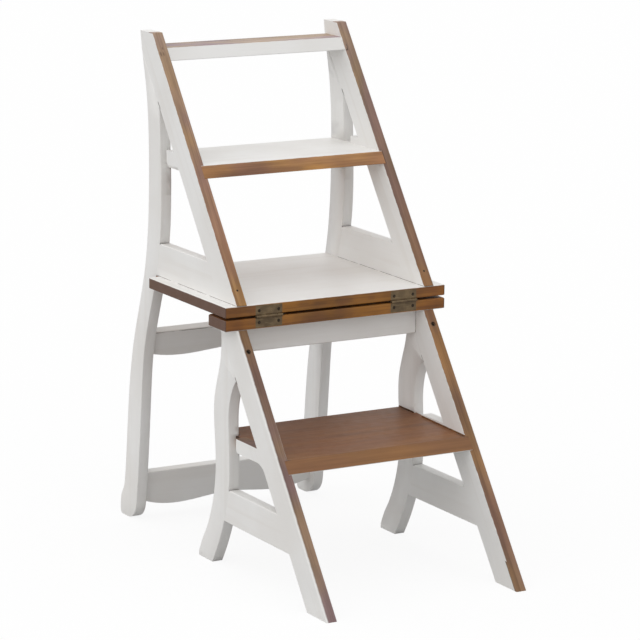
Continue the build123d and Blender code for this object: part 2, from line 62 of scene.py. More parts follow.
def srgb(red, green, blue):
    """Linear colour from picture values of 0 to 255."""
    return tuple((v / 255 / 12.92) if v < 10.3 else ((v / 255 + 0.055) / 1.055) ** 2.4
                 for v in (red, green, blue))


# Levels and planes of the frame, in metres

front_board_low, front_board_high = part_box("front_seat_board")
lower_low, lower_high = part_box("base_stringer_left")
base_step_low, base_step_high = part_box("base_step")
rear_board_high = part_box("rear_seat_board")[1]
upper_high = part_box("upper_stringer_left")[1]
middle_step_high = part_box("middle_step")[1]
top_step_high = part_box("top_step")[1]

BOARD_EDGE = front_board_low.y
BOARD_HALF = front_board_high.x
UNDER_BOARD = front_board_low.z
OVER_BOARD = rear_board_high.z
LADDER_TOP = upper_high.z
INNER = -lower_high.x
OUTER = -lower_low.x
MIDDLE = (INNER + OUTER) / 2
# The stringers' slant, Y and Z along them, and the direction square out of their fronts
SLOPE = (BOARD_EDGE - lower_low.y) / UNDER_BOARD
SLANT = math.hypot(1, SLOPE)
ALONG = (SLOPE / SLANT, 1 / SLANT)
OUTWARD = Vector((0, -1 / SLANT, SLOPE / SLANT))
STRINGER_WIDTH = 0.053
STRINGER_RUN = STRINGER_WIDTH * SLANT
LOWER_NOTCH_DROP = 0.087
UPPER_NOTCH_DROP = 0.124
NOSE_HEIGHT = 0.029
NOSE_TOP = base_step_low.z + NOSE_HEIGHT
BASE_STEP_FRONT = base_step_low.y
BASE_STEP_BACK = base_step_high.y
BASE_STEP_THICKNESS = 0.021
BASE_STEP_RISE = ((base_step_high.z - base_step_low.z - BASE_STEP_THICKNESS)
                  / (BASE_STEP_BACK - BASE_STEP_FRONT))
# Heights of the sloping step's two faces where they would meet Y = 0
BASE_STEP_TOP = base_step_high.z - BASE_STEP_BACK * BASE_STEP_RISE
BASE_STEP_UNDER = base_step_low.z - BASE_STEP_FRONT * BASE_STEP_RISE
SLAT_THICKNESS = 0.020
SLAT_LEAN = math.radians(16)


def notch_tip(level, height):
    """Y and Z of the notch's tip behind a stringer, at a height over the board it starts from."""
    return BOARD_EDGE + height * SLOPE + STRINGER_RUN, level + height


LOWER_NOTCH = notch_tip(UNDER_BOARD, -LOWER_NOTCH_DROP)
UPPER_NOTCH = notch_tip(OVER_BOARD, LADDER_TOP - UPPER_NOTCH_DROP - OVER_BOARD)

# Screws and nails: lengths in metres, shares of a radius, and the sides of round parts
LEG_SCREW_DROPS = {-1: 0.032, 1: 0.022}
LEG_SCREW_PLACES = [Vector((side * MIDDLE, BOARD_EDGE - drop * SLOPE, UNDER_BOARD - drop))
                    for side, drop in LEG_SCREW_DROPS.items()]
LEG_SCREW_SINK = 0.0036
LEG_SCREW_NECK_SHARE = 0.92
NAIL_RISE = 0.024
NAIL_SINK = 0.0003
HINGE_SCREW_SPACING = 0.038
UPPER_SEED_SHIFT = 4
HINGE_SCREW = {"Neck Radius": 0.0017, "Head Depth": 0.0016, "Crown": 0.0006,
               "Shank Radius": 0.0014, "Shank Length": 0.015}
LEG_SCREW = {"Head Depth": 0.0026, "Crown": 0.0004, "Shank Radius": 0.0022, "Shank Length": 0.064}
NAIL = {"Head Depth": 0.0011, "Crown": 0.0002, "Shank Radius": 0.0012, "Shank Length": 0.051}
HEAD_SIDES = 32
CROWN_RINGS = 16
CROWN_FIT = 0.985
SHANK_SIDES = 24
TIP_SHARE = 0.35
SLOT_REACH = 3.0

# Mesh work: tolerances in metres, decimals kept of an outline, and when an edge counts as flat or sharp
MERGE_REACH = 1e-6
SIDE_TOLERANCE = 1e-5
TOP_TOLERANCE = 1e-4
JOINT_TOLERANCE = 3e-4
OUTLINE_DIGITS = 5
FLAT_ANGLE = math.radians(0.05)
RIM_ANGLE = math.radians(30)
FRAME_SHARP_ANGLE = math.radians(40)
SCREW_SHARP_ANGLE = math.radians(35)
# Where a ray that looks for a front starts: in from the outer side, and ahead of the chair
RAY_INSET, RAY_START = 0.001, -1.0

# Studio, in metres, with the camera's frame in millimetres
FLOOR_HALF = 30.0
CAMERA_FRAME = 36.0
CAMERA_REACH = 200.0


class Signal:
    """A shader socket in Python expressions; each operator adds its Math node to the tree."""

    def __init__(self, tree, socket=None):
        self.tree = tree
        self.socket = socket

    def node(self, kind, settings=None, inputs=None, output=0):
        """Adds a node of this kind, its settings first, then its sockets' values or links."""
        made = self.tree.nodes.new(kind)
        for key, value in (settings or {}).items():
            if key == "stops":
                ramp = made.color_ramp
                while len(ramp.elements) < len(value):
                    ramp.elements.new(1.0)
                for element, (place, colour) in zip(ramp.elements, value):
                    element.position = place
                    element.color = (*colour, 1.0)
            else:
                setattr(made, key, value)
        for key, value in (inputs or {}).items():
            if isinstance(value, Signal):
                self.tree.links.new(value.socket, made.inputs[key])
            else:
                made.inputs[key].default_value = value
        return Signal(self.tree, made.outputs[output])

    def math(self, operation, *others):
        return self.node("ShaderNodeMath", {"operation": operation}, dict(enumerate((self, *others))))

    def reflected(self, operation, first):
        return self.node("ShaderNodeMath", {"operation": operation}, {0: first, 1: self})

    def __add__(self, other):
        return self.math("ADD", other)

    __radd__ = __add__

    def __mul__(self, other):
        return self.math("MULTIPLY", other)

    __rmul__ = __mul__

    def __sub__(self, other):
        return self.math("SUBTRACT", other)

    def __rsub__(self, other):
        return self.reflected("SUBTRACT", other)

    def __truediv__(self, other):
        return self.math("DIVIDE", other)

    def __rtruediv__(self, other):
        return self.reflected("DIVIDE", other)

    def __abs__(self):
        return self.math("ABSOLUTE")

    def __or__(self, other):
        return self.math("MAXIMUM", other)

    __ror__ = __or__

    def __and__(self, other):
        return self.math("MINIMUM", other)

    __rand__ = __and__

    def remap(self, low, high, first, last, kind="LINEAR"):
        """This signal with its span from low to high turned into the span from first to last."""
        return self.node("ShaderNodeMapRange", {"interpolation_type": kind},
                         {0: self, 1: low, 2: high, 3: first, 4: last})

    def below(self, limit, soft):
        """1 under the limit, falling to 0 over a soft width."""
        return self.remap(limit - soft / 2, limit + soft / 2, 1.0, 0.0, "SMOOTHSTEP")

    def above(self, limit, soft):
        """1 over the limit, falling to 0 under it over a soft width."""
        return self.remap(limit - soft / 2, limit + soft / 2, 0.0, 1.0, "SMOOTHSTEP")

    def spread(self, low, high):
        """A 0 to 1 signal spread over another span."""
        return self * (high - low) + low

    def ramp(self, *stops):
        return self.node("ShaderNodeValToRGB", {"stops": stops}, {0: self})

    def mix(self, under, over):
        """A colour between two, with this signal as the share of the second."""
        colours = [c if isinstance(c, Signal) else (*c, 1.0) for c in (under, over)]
        return self.node("ShaderNodeMix", {"data_type": "RGBA"}, {0: self, 6: colours[0], 7: colours[1]},
                         output=2)

    def shade(self, colour):
        """A colour multiplied by this signal."""
        colour = colour if isinstance(colour, Signal) else tuple(colour)
        return self.node("ShaderNodeVectorMath", {"operation": "SCALE"}, {0: colour, "Scale": self})

    def tinted(self, tone):
        """This colour multiplied by another."""
        return self.node("ShaderNodeVectorMath", {"operation": "MULTIPLY"}, {0: self, 1: tuple(tone)})


class Surface:
    """A material with one Principled shader, read from Object coordinates."""

    def __init__(self, name):
        self.material = bpy.data.materials.new(name)
        self.material.use_nodes = True
        tree = self.material.node_tree
        tree.nodes.clear()
        self.maker = Signal(tree)
        self.shader = tree.nodes.new("ShaderNodeBsdfPrincipled")
        output = tree.nodes.new("ShaderNodeOutputMaterial")
        tree.links.new(self.shader.outputs[0], output.inputs["Surface"])
        self.point = self.maker.node("ShaderNodeTexCoord", output="Object")
        self.axes = self.x, self.y, self.z = [
            self.maker.node("ShaderNodeSeparateXYZ", None, {0: self.point}, output=i) for i in range(3)]

    def noise(self, vector, scale=1.0, detail=2.0, roughness=0.5, distortion=0.0):
        return self.maker.node("ShaderNodeTexNoise", {"noise_dimensions": "3D"},
                               {"Vector": vector, "Scale": scale, "Detail": detail,
                                "Roughness": roughness, "Distortion": distortion})

    def stretched(self, axes, scales, detail, roughness=0.5, distortion=0.0):
        """Noise with a scale of its own, per metre, along each of three axes."""
        parts = dict(enumerate(axis * scale for axis, scale in zip(axes, scales)))
        vector = self.maker.node("ShaderNodeCombineXYZ", None, parts)
        return self.noise(vector, 1.0, detail, roughness, distortion)

    def spot(self, centre, radii):
        """1 in the middle of a small oval, fading to 0 at its rim."""
        offset = [(axis - c) / r for axis, c, r in zip(self.axes, centre, radii)]
        distance = (offset[0] * offset[0] + offset[1] * offset[1] + offset[2] * offset[2]).math("SQRT")
        return distance.below(*SPOT_EDGE)

    def set(self, **inputs):
        names = {"colour": "Base Color", "roughness": "Roughness", "metallic": "Metallic",
                 "normal": "Normal", "specular": "Specular IOR Level"}
        for key, value in inputs.items():
            socket = self.shader.inputs[names[key]]
            if isinstance(value, Signal):
                self.maker.tree.links.new(value.socket, socket)
            else:
                socket.default_value = value
        return self.material

    def bump(self, height, depth):
        return self.maker.node("ShaderNodeBump", None,
                               {"Strength": 1.0, "Distance": depth, "Height": height})


def tint(name, description, *levels):
    """A colour setting, with its default in picture values."""
    return FloatVectorProperty(name=name, description=description, subtype="COLOR", default=srgb(*levels),
                               min=0, max=1)


def length(name, description, default):
    """A size setting in metres."""
    return FloatProperty(name=name, description=description, default=default, unit="LENGTH")


class WoodFinish(bpy.types.PropertyGroup):
    """Paint and stain of the wooden pieces."""
    paint: tint("Paint", "White paint on the frames", 239, 238, 236)
    paint_shadow: tint("Paint shadow", "Thin or yellowed paint", 226, 222, 217)
    stain: tint("Stain", "Brown stain between the growth rings", 150, 105, 66)
    stain_dark: tint("Dark stain", "Growth rings and pores", 104, 68, 40)
    stain_light: tint("Light stain", "Worn and pale streaks", 176, 130, 86)
    stain_end: tint("End grain", "Stain drawn into the boards' ends", 93, 62, 41)
    stain_gold: tint("Golden stain", "Yellow patches along the grain", 168, 117, 60)
    stain_red: tint("Red stain", "Red patches along the grain", 138, 92, 70)
    # Also the colour of the painted shade in the leg screws' holes and the painted shadow in the gap at the
    # left base nose
    dark_marks_and_shade: tint("Knots and holes", "Knots, cracks and screw holes", 52, 32, 20)
    seam: tint("Seam", "Dirt in the joints", 74, 66, 58)
    dowel: tint("Dowel", "Flecks in the beech dowels", 176, 134, 92)
    dowel_pale: tint("Pale dowel", "Beech between the flecks", 214, 178, 134)
    ring_width: length("Ring width", "Growth rings across the grain", 0.0075)
    paint_edge: length("Paint edge", "Unevenness of the line between the finishes", 0.0006)
    edge_radius: length("Edge radius", "Rounding of the legs' and posts' edges", 0.0014)
    brush_depth: length("Brush depth", "Relief of brush marks and grain", 0.00025)


class HingeFinish(bpy.types.PropertyGroup):
    """Metal of the hinges and fasteners."""
    brass: tint("Brass", "Rubbed hinge leaves", 117, 97, 68)
    tarnish: tint("Tarnish", "Dull film on the leaves", 86, 70, 48)
    specks: tint("Specks", "Dark specks on the leaves", 62, 50, 36)
    scuffs: tint("Scuffs", "Bright scratches on the leaves", 156, 137, 102)
    steel: tint("Steel", "Darkened screws and nails", 66, 54, 40)
    steel_shadow: tint("Steel shadow", "Darkest film on the steel", 36, 28, 20)
    film_depth: length("Film depth", "Relief of the film on the metal", 0.0001)


class ScrewSizes(bpy.types.PropertyGroup):
    """Sizes of the screws and nails."""
    hinge_head: length("Hinge screw head", "Radius of a hinge screw's head", 0.0029)
    leg_head: length("Leg screw head", "Radius of a leg screw's head", 0.0037)
    nail_head: length("Nail head", "Radius of a nail's head", 0.0020)
    slot_width: length("Slot width", "Width of the driver's slot", 0.0008)
    slot_depth: length("Slot depth", "Depth of the driver's slot", 0.0010)
    turn_seed: IntProperty(name="Turn seed", description="Where each slot came to rest", default=7)


class StudioLight(bpy.types.PropertyGroup):
    """Light, floor and camera."""
    room: FloatProperty(name="Room light", description="Even light from all round", default=0.495)
    lamp: FloatProperty(name="Lamp", description="Strength of the large soft lamp", default=1.79)
    lamp_towards: FloatVectorProperty(name="Lamp direction", description="From the chair to the lamp",
                                      subtype="DIRECTION", default=(-0.485, -0.07, 0.87))
    lamp_spread: FloatProperty(name="Lamp spread", description="Angle that the lamp fills",
                               default=math.radians(120), subtype="ANGLE")
    floor: tint("Floor", "Pale floor", 250, 250, 250)
    bounce: tint("Bounce", "Light that the floor throws back up", 182, 182, 182)
    floor_shadow: FloatProperty(name="Floor shadow", description="Share of the shadow that shows",
                                default=0.11, subtype="FACTOR")
    eye: FloatVectorProperty(name="Camera", description="Place of the camera", subtype="TRANSLATION",
                             default=(-2.7393, -4.7551, 1.6116))
    yaw: FloatProperty(name="Yaw", description="Camera turned from +Y towards +X",
                       default=math.radians(29.98), subtype="ANGLE")
    pitch: FloatProperty(name="Pitch", description="Camera tilted down",
                         default=math.radians(12.287), subtype="ANGLE")
    roll: FloatProperty(name="Roll", description="Camera turned about its own axis",
                        default=math.radians(0.634), subtype="ANGLE")
    lens: FloatProperty(name="Lens", description="Focal length on a 36 mm frame", default=181.27,
                        unit="CAMERA")


# Wood finishes

# Tones multiply the stain; a pair holds the tones at the bottom and at the top of a piece
# On the stringers' fronts these tones are partly the stain's own colour and partly painted sheen: the
# greyer tones stand in for the bright room reflected in the tilted fronts
LOWER_TONE_AND_SHEEN = {"left": ((0.90, 1.28, 2.80), (0.50, 0.56, 0.64)),
              "right": ((0.74, 0.88, 1.22), (0.78, 0.81, 0.84))}
UPPER_TONE_AND_SHEEN = {"left": ((1.17, 1.29, 1.14), (0.98, 1.42, 2.95)),
              "right": ((0.61, 0.61, 0.65), (1.18, 1.73, 3.00))}
BOARD_TONE = ((0.88, 0.78, 0.36),) * 2
BASE_STEP_TONE = ((0.80, 0.79, 0.74),) * 2
MIDDLE_STEP_TONE = ((1.36, 1.44, 1.28),) * 2
TOP_STEP_TONE = ((1.14, 1.78, 4.00),) * 2
STEP_BAND_TONE = ((0.42, 0.34, 0.36),) * 2
PLAIN_TONE = ((1, 1, 1),) * 2
# Tones that the darker parts get on top of those; the first is painted shade on the base step's top, and
# only a darker tone on the boards' ends and the lower stringers
SHADE_AND_DARKENING_TONE = (0.79, 0.66, 0.53)
MIDDLE_STEP_SHADE = (0.71, 0.69, 0.90)
# Contrast of the grain, and how closely its golden and red patches follow each other, per metre
BOARD_CONTRAST = 1.25
BASE_STEP_CONTRAST = 0.4
BOARD_PATCHES = 16.0
PLAIN_PATCHES = 7.0
# Noise scales along, across and through the grain, per metre
RING_STRETCH = 1.8
STREAKS = (9.0, 520.0, 520.0)
PORES = (45.0, 1600.0, 1600.0)
CLOUDS = (9.0, 40.0, 30.0)
PATCH_WIDTHS = (26.0, 12.0)
BRUSH_MARKS = (5.0, 260.0, 260.0)
PAINTED_GRAIN = (2.5, 45.0, 45.0)
SCRATCHES = (60.0, 900.0, 900.0)
BEECH_FLECKS = (900.0, 900.0, 60.0)
DOWEL_RELIEF = 0.0001
# Strength of the clouds in the stain and of the pores in the end grain
CLOUD_SPAN, CLOUD_STRENGTH = (0.34, 0.66), 0.2
END_GRAIN_SPAN = (0.75, 1.2)
# Roughness of the paint, what the stain adds to it, and the shine of both
PAINT_ROUGHNESS = (0.36, 0.52)
STAIN_ROUGHNESS = 0.06
WOOD_SHINE = 0.4
# Breaks in the dirt of joints and cracks and in the painted shadow at the left base nose, and how much of
# it shows
DIRT_AND_SHADOW_BREAKS = (0.42, 0.2)
SEAM_STRENGTH = 0.85
CRACK_AND_SHADOW_STRENGTH = (0.6, 1.0)
# Edge of a spot and its softness, as shares of the spot's radii
SPOT_EDGE = (0.75, 0.7)
# Centres, radii and strengths of the knots in the upper stringers' fronts
UPPER_KNOTS = {"left": [((-0.1922, 0.2250, 0.8660), (0.0022, 0.0052, 0.0070), 0.50),
                        ((-0.1871, 0.2250, 0.8660), (0.0020, 0.0046, 0.0062), 0.45),
                        ((-0.1858, 0.2314, 0.8747), (0.0020, 0.0030, 0.0040), 0.42)],
               "right": [((0.1784, 0.2162, 0.8541), (0.0034, 0.0017, 0.0022), 0.80),
                         ((0.1800, 0.2180, 0.8566), (0.0014, 0.0026, 0.0034), 0.80),
                         ((0.1810, 0.2212, 0.8609), (0.0012, 0.0044, 0.0058), 0.60)]}
# Painted shade in the leg screws' holes, and the stain round them
SCREW_HOLE_SHADE = (0.0055,) * 3
SCREW_HOLE_SHADE_STRENGTH = 0.9
SCREW_STAIN = (0.009,) * 3
# How far a finish or a seam reaches from its face, and the softness of its edge
SKIN, SOFT = 0.0008, 0.0006
FRONT_SKIN, FRONT_SOFT = 0.0009, 0.0007
STEP_FRONT_SKIN = 0.0012
SEAM_REACH = 0.0007
LET_IN_REACH, LET_IN_SOFT = 0.0006, 0.0004
NOSE_SOFT = 0.0005
LEFT_RIGHT_SOFT = 0.001
END_SKIN, END_SOFT = 0.0014, 0.0008
PAINTED_EDGE, PAINTED_EDGE_SOFT = 0.0028, 0.0034
# How much of the paint line's unevenness the other lines have
PAINTED_EDGE_WOBBLE = 1.5
TOP_END_WOBBLE = 4.0
TOP_WOBBLE = 0.5
UNDERSIDE_WOBBLE = 0.4
SEAM_WOBBLE = 0.3
# Stain past the fronts and its softness: the right foot, the top ends, and the band along the base step
FOOT_STAIN_HEIGHT, FOOT_STAIN_DEPTH = (0.045, 0.002), (0.0045, 0.001)
TOP_STAIN_DEPTH = (0.012, 0.002)
STEP_BAND_OVER, STEP_BAND_OVER_SOFT = 0.0022, 0.001
STEP_BAND_UNDER, STEP_BAND_UNDER_SOFT = 0.016, 0.002
# Darker parts of boards and steps: the middle of each fade and its length, and how much of the tone shows
RIGHT_END_FADE, RIGHT_END_SHARE = (0.170, 0.060), 0.85
LEFT_END_FADE, LEFT_END_SHARE = (-0.178, 0.050), 0.75
MIDDLE_STEP_FADE = (-0.0515, 0.044)
# Painted shade on the base step's top from the boards above: where its fade starts behind the front, its
# length, and how much shows at the front
TREAD_SHADE_START, TREAD_SHADE_FADE, TREAD_SHADE_FRONT_SHARE = 0.030, 0.090, 0.45
# Darker band at the base step's ends, and how far it runs from the front and the back
FOOT_BAND_WIDTH, FOOT_BAND_SOFT = 0.0042, 0.0060
FOOT_BAND_FROM_FRONT, FOOT_BAND_FROM_BACK, FOOT_BAND_FADE = 0.062, 0.046, 0.012
# Cracks and creases, and the softness of their edges
STEP_END_REACH = 0.0011
RAIL_CRACK_LENGTH, RAIL_CRACK_LENGTH_SOFT = 0.0034, 0.0012
RAIL_CRACK_DEPTH, RAIL_CRACK_DEPTH_SOFT = 0.0012, 0.0008
SLAT_LINE_DROP, SLAT_LINE_HALF = 0.0010, 0.0005
SLAT_LINE_DEPTH, SLAT_LINE_SOFT = 0.0030, 0.0010
CREASE_HALF, CREASE_LENGTH = (0.0009, 0.0008), (0.007, 0.004)
# Noise scales per metre of the gloss, of uneven paint edges, and of breaks in dirt
GLOSS_SCALE, EDGE_SCALE, BREAK_SCALE = 60.0, 90.0, 38.0
# Centre and radii of the painted shadow in the gap at the left base nose
NOSE_GAP_SHADE = (-INNER - 0.006, -0.0425, 0.2380)
NOSE_GAP_SHADE_RADII = (0.0045, 0.0100, 0.0060)


def grain_axes(surface, run):
    """Object coordinates along, across and through the grain."""
    x, y, z = surface.axes
    if run == "cross":
        return x, y, z
    if run == "slanted":
        return y * ALONG[0] + z * ALONG[1], y * ALONG[1] - z * ALONG[0], x
    if run == "level":
        return y, z, x
    return z, y, x


def stained(surface, run, finish, tone, span, contrast, ends, patches):
    """Colour and height of brown stained wood."""
    axes = grain_axes(surface, run)
    ring = 1 / finish.ring_width
    rings = surface.stretched(axes, (RING_STRETCH, ring, ring), 3.0, 0.5, 0.5)
    streaks = surface.stretched(axes, STREAKS, 3.0, 0.6)
    pores = surface.stretched(axes, PORES, 2.0, 0.6)
    clouds = surface.stretched(axes, CLOUDS, 2.0)
    hue = surface.stretched(axes, (patches, *PATCH_WIDTHS), 2.0)
    colour = finish.stain
    for share, strength, over in ((rings.above(0.56, 0.26), 0.60, finish.stain_dark),
                                  (rings.below(0.42, 0.20), 0.45, finish.stain_light),
                                  (hue.above(0.55, 0.16), 0.60, finish.stain_gold),
                                  (hue.below(0.45, 0.16), 0.55, finish.stain_red),
                                  (streaks.above(0.58, 0.20), 0.34, finish.stain_dark),
                                  (pores.above(0.63, 0.14), 0.30, finish.stain_dark)):
        colour = share.spread(0.0, strength * contrast).mix(colour, over)
    swing = CLOUD_STRENGTH * contrast
    colour = clouds.remap(*CLOUD_SPAN, 1.0 - swing, 1.0 + swing).shade(colour)
    height = surface.z.remap(*span, 0.0, 1.0)
    colour = height.mix(colour.tinted(tone[0]), colour.tinted(tone[1]))
    if ends:
        end = abs(surface.x).above(BOARD_HALF - END_SKIN, END_SOFT)
        colour = end.mix(colour, pores.spread(*END_GRAIN_SPAN).shade(finish.stain_end))
    return colour, rings * 0.3 + streaks * 0.4 + pores * 0.3


def painted(surface, run, finish):
    """Colour and height of white painted wood."""
    axes = grain_axes(surface, run)
    brush = surface.stretched(axes, BRUSH_MARKS, 3.0, 0.6)
    clouds = surface.noise(surface.point, 7.0, 3.0, 0.5)
    grain = surface.stretched(axes, PAINTED_GRAIN, 2.0, 0.5, 0.5)
    colour = finish.paint
    for share, strength in ((clouds.above(0.52, 0.5), 0.55), (grain.above(0.62, 0.2), 0.35),
                            (brush.above(0.66, 0.16), 0.25)):
        colour = share.spread(0.0, strength).mix(colour, finish.paint_shadow)
    return colour, brush * 0.7 + grain * 0.3


def wood(name, run, stain=None, seams=(), cracks=(), knots_and_shades=(), ends=False, tone=PLAIN_TONE,
         span=(0, 1), contrast=1.0, darker=None, darker_tone=SHADE_AND_DARKENING_TONE, patches=PLAIN_PATCHES):
    """Painted wood, stained where one function says so and darker where another does, with dirty joints and
    knots, and painted shade in gaps and screw holes.
    """
    finish = bpy.context.scene.ladder_chair_wood
    surface = Surface(name)
    colour, height = painted(surface, run, finish)
    rough = surface.noise(surface.point, GLOSS_SCALE, 2.0).spread(*PAINT_ROUGHNESS)
    wobble = (surface.noise(surface.point, EDGE_SCALE, 2.0) - 0.5) * (2 * finish.paint_edge)
    if stain:
        brown, relief = stained(surface, run, finish, tone, span, contrast, ends, patches)
        if darker:
            brown = darker(surface).mix(brown, brown.tinted(darker_tone))
        for centre, radii, strength in knots_and_shades:
            brown = surface.spot(centre, radii).spread(0.0, strength).mix(brown, finish.dark_marks_and_shade)
        share = stain(surface, wobble)
        colour = share.mix(colour, brown)
        height = height + share * (relief - height)
        rough = rough + share * STAIN_ROUGHNESS
    gaps = surface.noise(surface.point, BREAK_SCALE, 3.0).above(*DIRT_AND_SHADOW_BREAKS)
    for seam in seams:
        colour = (seam(surface, wobble) * gaps * SEAM_STRENGTH).mix(colour, finish.seam)
    for dark_mark in cracks:
        colour = (dark_mark(surface, wobble) * gaps.spread(*CRACK_AND_SHADOW_STRENGTH)).mix(colour, finish.dark_marks_and_shade)
    return surface.set(colour=colour, roughness=rough, specular=WOOD_SHINE,
                       normal=surface.bump(height, finish.brush_depth))


# Where the finishes, seams, cracks and painted shadows lie: each function gives 1 on its part and 0
# elsewhere


def behind_front(point, level):
    """Depth of a point behind the fronts of the stringers that start from a board's level."""
    return ((point.y - BOARD_EDGE) - (point.z - level) * SLOPE) / SLANT


def open_length(surface):
    """A step between the frames, without its let-in ends."""
    return abs(surface.x).below(INNER + LET_IN_REACH, LET_IN_SOFT)


def step_band(surface, wobble):
    """Band of stain on the inner faces along the base step's top."""
    over = surface.z - surface.y * BASE_STEP_RISE - wobble
    upper = over.below(BASE_STEP_TOP + STEP_BAND_OVER, STEP_BAND_OVER_SOFT)
    lower = over.above(BASE_STEP_TOP - STEP_BAND_UNDER, STEP_BAND_UNDER_SOFT)
    return upper & lower & open_length(surface)


def nose_top(surface):
    """Top of the left base nose, stained with the step."""
    level = surface.z.above(NOSE_TOP - SKIN, SOFT) & surface.z.below(NOSE_TOP + SKIN, SOFT)
    behind = behind_front(surface, UNDER_BOARD).above(STRINGER_WIDTH - NOSE_SOFT, NOSE_SOFT)
    return level & behind & surface.x.below(0.0, LEFT_RIGHT_SOFT)


def lower_stringer_stain(surface, wobble):
    """Fronts of the lower stringers, the right one's foot, the screw holes and the band along the base
    step.
    """
    depth = behind_front(surface, UNDER_BOARD) + wobble
    inside = (surface.x + wobble * PAINTED_EDGE_WOBBLE).above(-OUTER + PAINTED_EDGE, PAINTED_EDGE_SOFT)
    front = depth.below(FRONT_SKIN, FRONT_SOFT) & inside
    foot = surface.z.below(*FOOT_STAIN_HEIGHT) & depth.below(*FOOT_STAIN_DEPTH)
    foot = foot & surface.x.above(0.0, LEFT_RIGHT_SOFT)
    holes = [surface.spot(centre, SCREW_STAIN) for centre in LEG_SCREW_PLACES]
    return front | foot | nose_top(surface) | holes[0] | holes[1] | step_band(surface, wobble)


def lower_stringer_tread(surface):
    """Parts of the lower stringers darkened with the same tone as the base step's top: the left nose's top
    and the band along the step.
    """
    return nose_top(surface) | step_band(surface, 0.0)


def upper_stringer_stain(surface, wobble):
    """Fronts of the upper stringers, drawn a little over their top ends."""
    depth = behind_front(surface, OVER_BOARD)
    end = (depth + wobble * TOP_END_WOBBLE).below(*TOP_STAIN_DEPTH)
    end = surface.z.above(LADDER_TOP - SKIN, SOFT) & end
    return (depth + wobble).below(FRONT_SKIN, FRONT_SOFT) | end


def front_board_stain(surface, wobble):
    return (surface.z + wobble * UNDERSIDE_WOBBLE).above(UNDER_BOARD + SKIN, SOFT)


def rear_board_stain(surface, wobble):
    return (surface.z + wobble * TOP_WOBBLE).below(OVER_BOARD - SKIN, SOFT)


def board_ends(surface):
    """The boards' darker ends."""
    right = surface.x.above(*RIGHT_END_FADE) * RIGHT_END_SHARE
    return right | surface.x.below(*LEFT_END_FADE) * LEFT_END_SHARE


def base_step_stain(surface, wobble):
    over = surface.z - surface.y * BASE_STEP_RISE + wobble * UNDERSIDE_WOBBLE
    return over.above(BASE_STEP_UNDER + SKIN, SOFT)


def base_step_top_shade(surface):
    """Painted shade on the top of the base step, cast by the boards above, fading in from its front."""
    top = (surface.z - surface.y * BASE_STEP_RISE).above(BASE_STEP_TOP - SKIN, SOFT)
    return top * surface.y.above(BASE_STEP_FRONT + TREAD_SHADE_START, TREAD_SHADE_FADE).spread(TREAD_SHADE_FRONT_SHARE, 1.0)


def base_step_foot_band(surface, wobble):
    """Darker band on the base step along the feet of the legs and stringers."""
    end = (abs(surface.x) + wobble).above(INNER - FOOT_BAND_WIDTH, FOOT_BAND_SOFT)
    front = surface.y.below(BASE_STEP_FRONT + FOOT_BAND_FROM_FRONT, FOOT_BAND_FADE)
    back = surface.y.above(BASE_STEP_BACK - FOOT_BAND_FROM_BACK, FOOT_BAND_FADE)
    return end & (front | back) & base_step_top_shade(surface)


def nose_gap_shade(surface, wobble):
    """Painted shadow in the gap between the left base nose and its leg."""
    return surface.spot(NOSE_GAP_SHADE, NOSE_GAP_SHADE_RADII)


def step_front(surface):
    """Front face of the middle step, level with the stringers' fronts."""
    return behind_front(surface, OVER_BOARD).below(STEP_FRONT_SKIN, SOFT)


def middle_step_stain(surface, wobble):
    brown = (surface.z + wobble * TOP_WOBBLE).below(middle_step_high.z - SKIN, SOFT)
    return brown & (open_length(surface) | step_front(surface))


def middle_step_end(surface):
    """The middle step's darker left third."""
    return surface.x.below(*MIDDLE_STEP_FADE)


def step_end_seam(surface, wobble):
    """Dark hairline at the right end of the middle step's front."""
    end = (surface.x + wobble * SEAM_WOBBLE).above(middle_step_high.x - STEP_END_REACH, SOFT)
    return step_front(surface) & end


def top_step_stain(surface, wobble):
    return (surface.z + wobble * TOP_WOBBLE).above(top_step_high.z - SKIN, SOFT)


def board_seam(surface, wobble):
    """Hairline where the rails and upper stringers stand on the rear board."""
    return (surface.z - OVER_BOARD + wobble * SEAM_WOBBLE).below(SEAM_REACH, SOFT)


def inner_end_seam(surface, wobble):
    """Hairlines where a cross rail butts against the frames."""
    return (abs(surface.x) + wobble * SEAM_WOBBLE).above(INNER - SEAM_REACH, SOFT)


def front_of(node, z):
    """Y of the front of a leg or post at a height, on its outer side."""
    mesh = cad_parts[node].data
    tree = BVHTree.FromPolygons([v.co for v in mesh.vertices], [p.vertices for p in mesh.polygons])
    place = tree.ray_cast(Vector((RAY_INSET - OUTER, RAY_START, z)), Vector((0, 1, 0)))[0]
    if place is None:
        raise RuntimeError(f"{node} has no front at {z}")
    return place.y


def rail_end_crack(rail, node):
    """Crack along a rail's top where it runs into the leg or post behind it."""
    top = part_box(rail)[1].z
    end = front_of(node, top)

    def dark_mark(surface, wobble):
        near = (surface.y - end + wobble).above(-RAIL_CRACK_LENGTH, RAIL_CRACK_LENGTH_SOFT)
        return near & surface.z.above(top - RAIL_CRACK_DEPTH, RAIL_CRACK_DEPTH_SOFT)
    return dark_mark


def slat_line(surface, wobble):
    """Open paint line along the back slat's front upper edge."""
    low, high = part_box("back_slat")
    edge = high.z - SLAT_THICKNESS * math.sin(SLAT_LEAN)
    line = abs(surface.z - edge + SLAT_LINE_DROP + wobble).below(SLAT_LINE_HALF, SOFT)
    return line & surface.y.below(low.y + SLAT_LINE_DEPTH, SLAT_LINE_SOFT)


